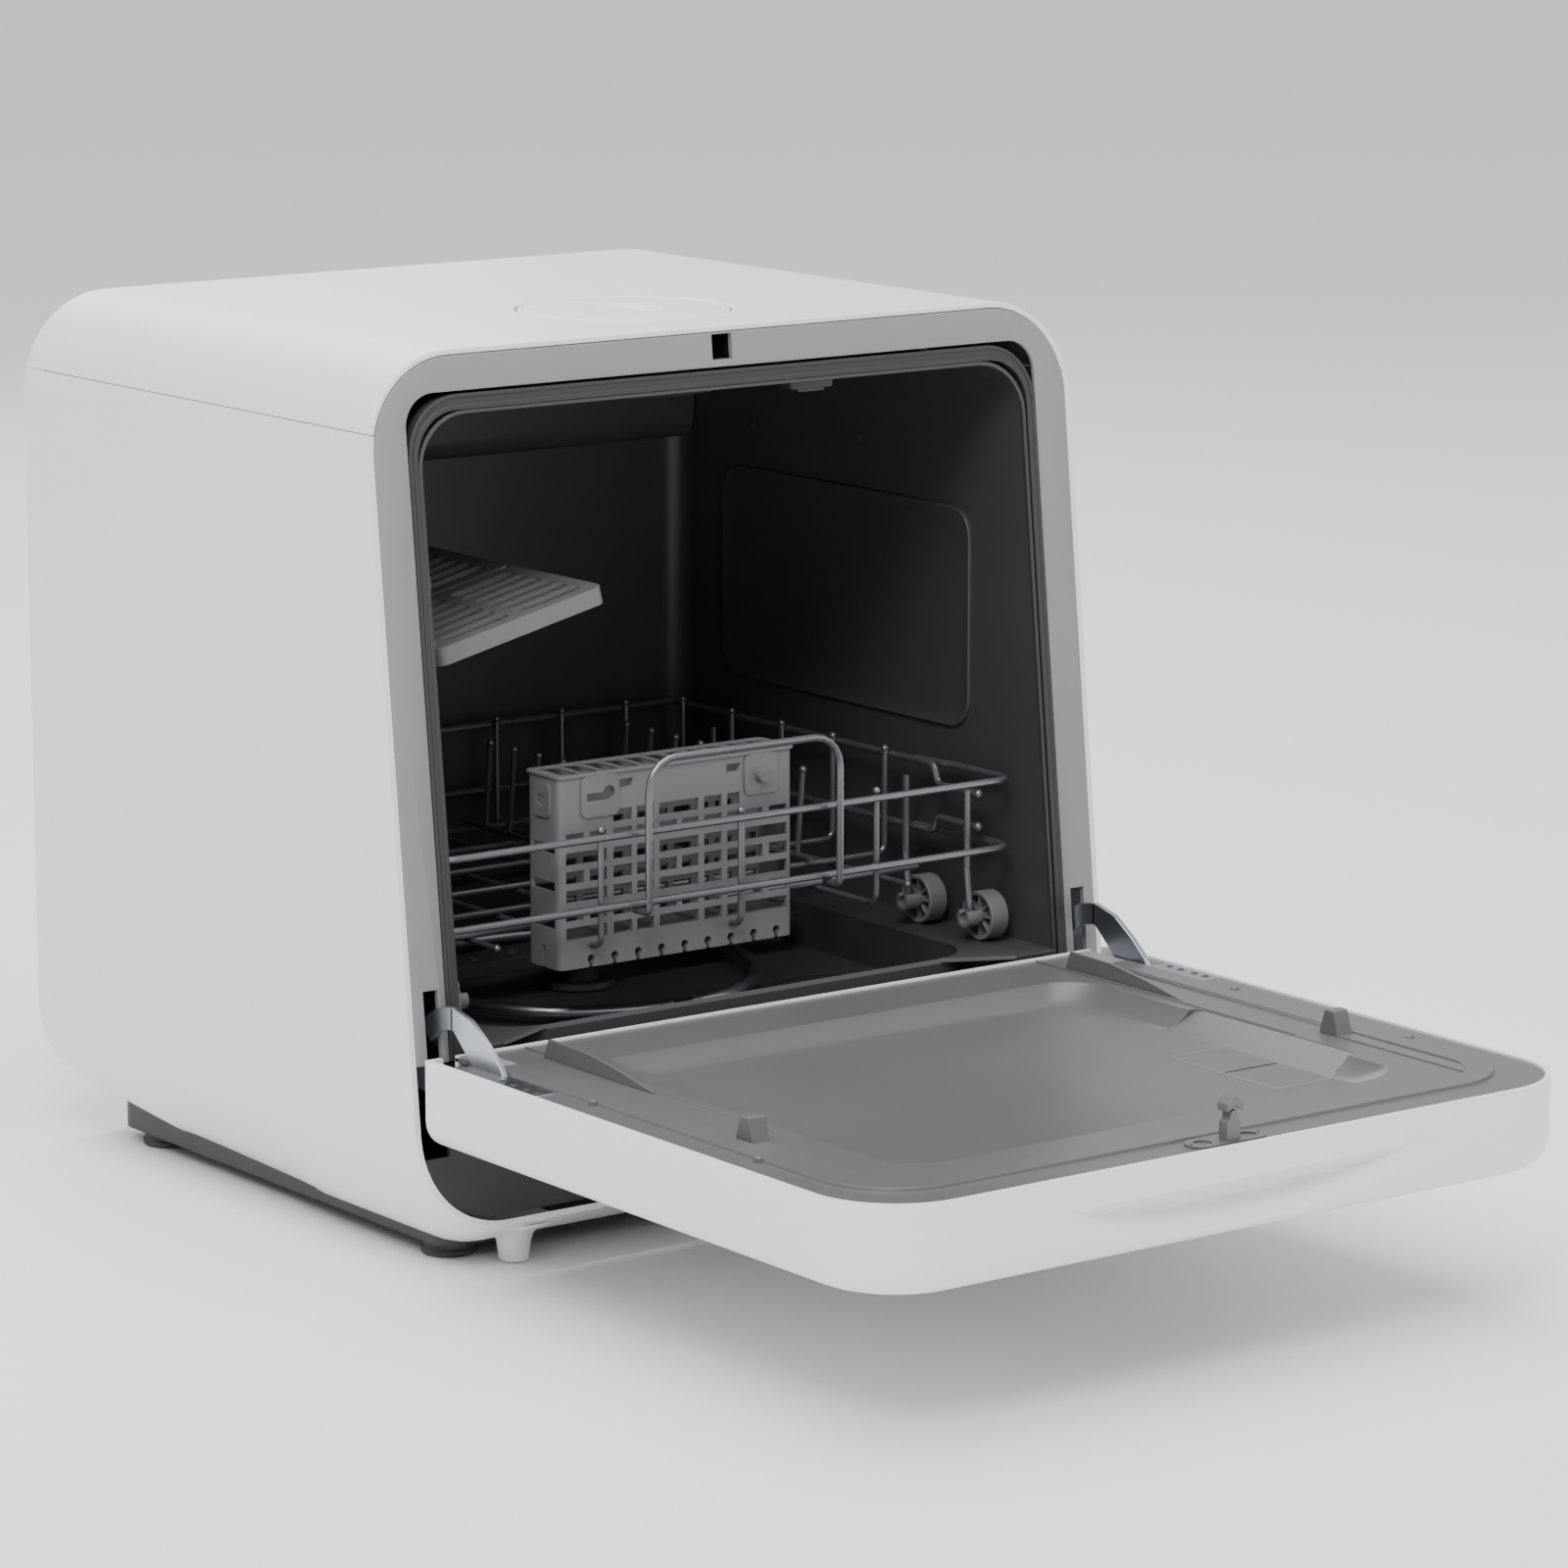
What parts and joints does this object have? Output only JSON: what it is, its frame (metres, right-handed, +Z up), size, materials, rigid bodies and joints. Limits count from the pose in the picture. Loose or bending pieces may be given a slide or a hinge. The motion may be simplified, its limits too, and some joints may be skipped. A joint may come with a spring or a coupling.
{
  "type": "countertop dishwasher",
  "caption": "Worktop dishwasher with a drop-down door, a wire rack that rolls out onto it, folding cup shelves, a cutlery basket and a water lid on top",
  "frame": {"origin": "centre of the bounding box on the worktop plane, with the door open and the rack in", "axes": "+X right as seen from the front, +Y to the back, +Z up"},
  "size_m": [0.42, 0.716, 0.44],
  "materials": {
    "shell_white": "satin white paint",
    "plastic_grey": "matte mid grey",
    "liner_grey": "satin grey",
    "tub_dark": "soft dark grey sheen",
    "rubber_black": "matte black",
    "steel": "brushed",
    "rack_wire": "satin grey coating on wire",
    "plastic_light": "light grey gloss",
    "plastic_dark": "matte dark grey",
    "plastic_black": "matte black",
    "board_green": "solder resist"
  },
  "bodies": {
    "cabinet": {"side_wrap": "shell_white", "top_cover": "shell_white", "front_frame": "plastic_grey", "rear_panel": "plastic_dark", "base_plate": "plastic_dark", "kick_panel": "plastic_dark", "front_feet": "plastic_light", "pad_feet": "rubber_black", "tub_shell": "tub_dark", "tub_gasket": "rubber_black", "sump": "plastic_dark", "heater_ring": "steel", "wash_pump": "plastic_black", "drain_pump": "plastic_black", "water_tank": "plastic_light", "fill_funnel": "plastic_dark", "inlet_connector": "plastic_light", "drain_connector": "plastic_dark", "cord_gland": "rubber_black", "control_board": "board_green", "spray_hub": "plastic_dark", "latch_receiver": "plastic_black", "hinge_bracket_left": "steel", "hinge_bracket_right": "steel", "case_screws": "steel"},
    "door": {"door_shell": "shell_white", "door_liner": "liner_grey", "control_panel": "plastic_dark", "latch_hook": "plastic_dark", "latch_plate": "plastic_dark", "wheel_stops": "liner_grey", "track_guides": "liner_grey", "hinge_arm_left": "steel", "hinge_arm_right": "steel", "hinge_screws": "steel", "detergent_cup": "plastic_dark"},
    "rack": {"rack_floor": "rack_wire", "rack_front": "rack_wire", "rack_left": "rack_wire", "rack_right": "rack_wire", "rack_rear": "rack_wire", "shelf_frame": "rack_wire", "plate_tines": "rack_wire"},
    "power_button": {"power_button": "plastic_light"},
    "program_button": {"program_button": "plastic_light"},
    "fill_lid": {"fill_lid": "plastic_light"},
    "spray_arm": {"spray_arm": "plastic_light"},
    "sump_filter": {"sump_filter": "steel"},
    "cup_shelf_front": {"cup_shelf_front": "plastic_grey"},
    "cup_shelf_middle": {"cup_shelf_middle": "plastic_grey"},
    "cup_shelf_rear": {"cup_shelf_rear": "plastic_grey"},
    "cutlery_basket": {"cutlery_basket": "plastic_grey"},
    "wheel_front_left": {"wheel_front_left": "plastic_grey"},
    "wheel_front_right": {"wheel_front_right": "plastic_grey"},
    "wheel_second_left": {"wheel_second_left": "plastic_grey"},
    "wheel_second_right": {"wheel_second_right": "plastic_grey"},
    "wheel_rear_left": {"wheel_rear_left": "plastic_grey"},
    "wheel_rear_right": {"wheel_rear_right": "plastic_grey"}
  },
  "joints": [
    {"name": "door_hinge", "type": "hinge", "parent": "cabinet", "child": "door", "pos_m": [0, -0.01544, 0.1], "axis": [-1, 0, 0], "range_deg": [0, 96]},
    {"name": "rack_slide", "type": "slide", "parent": "cabinet", "child": "rack", "axis": [0, 1, 0], "range_m": [-0.24, 0]},
    {"name": "fill_lid_lift", "type": "slide", "parent": "cabinet", "child": "fill_lid", "axis": [0, 0, 1], "range_m": [0, 0.03]},
    {"name": "spray_arm_spin", "type": "hinge", "parent": "cabinet", "child": "spray_arm", "pos_m": [0, 0.166, 0.108], "axis": [0, 0, 1], "continuous": true},
    {"name": "filter_turn", "type": "hinge", "parent": "cabinet", "child": "sump_filter", "pos_m": [0.092, 0.066, 0.088], "axis": [0, 0, 1], "range_deg": [0, 45]},
    {"name": "power_press", "type": "slide", "parent": "door", "child": "power_button", "axis": [0, 0, 1], "range_m": [0, 0.0015], "stiffness_N_per_m": 400, "springref_m": -0.001},
    {"name": "program_press", "type": "slide", "parent": "door", "child": "program_button", "axis": [0, 0, 1], "range_m": [0, 0.0015], "stiffness_N_per_m": 400, "springref_m": -0.001},
    {"name": "basket_lift", "type": "slide", "parent": "rack", "child": "cutlery_basket", "axis": [0, 0, 1], "range_m": [0, 0.06]},
    {"name": "shelf_front_fold", "type": "hinge", "parent": "rack", "child": "cup_shelf_front", "pos_m": [-0.1628, 0.088, 0.301], "axis": [0, -1, 0], "range_deg": [0, 60]},
    {"name": "shelf_middle_fold", "type": "hinge", "parent": "rack", "child": "cup_shelf_middle", "pos_m": [-0.1628, 0.169, 0.301], "axis": [0, -1, 0], "range_deg": [0, 60]},
    {"name": "shelf_rear_fold", "type": "hinge", "parent": "rack", "child": "cup_shelf_rear", "pos_m": [-0.1628, 0.25, 0.301], "axis": [0, -1, 0], "range_deg": [0, 60]},
    {"name": "wheel_front_left_roll", "type": "hinge", "parent": "rack", "child": "wheel_front_left", "pos_m": [-0.1672, 0.041, 0.125], "axis": [-1, 0, 0], "continuous": true},
    {"name": "wheel_front_right_roll", "type": "hinge", "parent": "rack", "child": "wheel_front_right", "pos_m": [0.1672, 0.041, 0.125], "axis": [-1, 0, 0], "continuous": true},
    {"name": "wheel_second_left_roll", "type": "hinge", "parent": "rack", "child": "wheel_second_left", "pos_m": [-0.1672, 0.092, 0.125], "axis": [-1, 0, 0], "continuous": true},
    {"name": "wheel_second_right_roll", "type": "hinge", "parent": "rack", "child": "wheel_second_right", "pos_m": [0.1672, 0.092, 0.125], "axis": [-1, 0, 0], "continuous": true},
    {"name": "wheel_rear_left_roll", "type": "hinge", "parent": "rack", "child": "wheel_rear_left", "pos_m": [-0.1672, 0.262, 0.125], "axis": [-1, 0, 0], "continuous": true},
    {"name": "wheel_rear_right_roll", "type": "hinge", "parent": "rack", "child": "wheel_rear_right", "pos_m": [0.1672, 0.262, 0.125], "axis": [-1, 0, 0], "continuous": true}
  ],
  "couplings": [
    {"joint": "wheel_front_left_roll", "follows": "rack_slide", "rad_per_m": 78.74},
    {"joint": "wheel_front_right_roll", "follows": "rack_slide", "rad_per_m": 78.74},
    {"joint": "wheel_second_left_roll", "follows": "rack_slide", "rad_per_m": 78.74},
    {"joint": "wheel_second_right_roll", "follows": "rack_slide", "rad_per_m": 78.74},
    {"joint": "wheel_rear_left_roll", "follows": "rack_slide", "rad_per_m": 78.74},
    {"joint": "wheel_rear_right_roll", "follows": "rack_slide", "rad_per_m": 78.74}
  ]
}
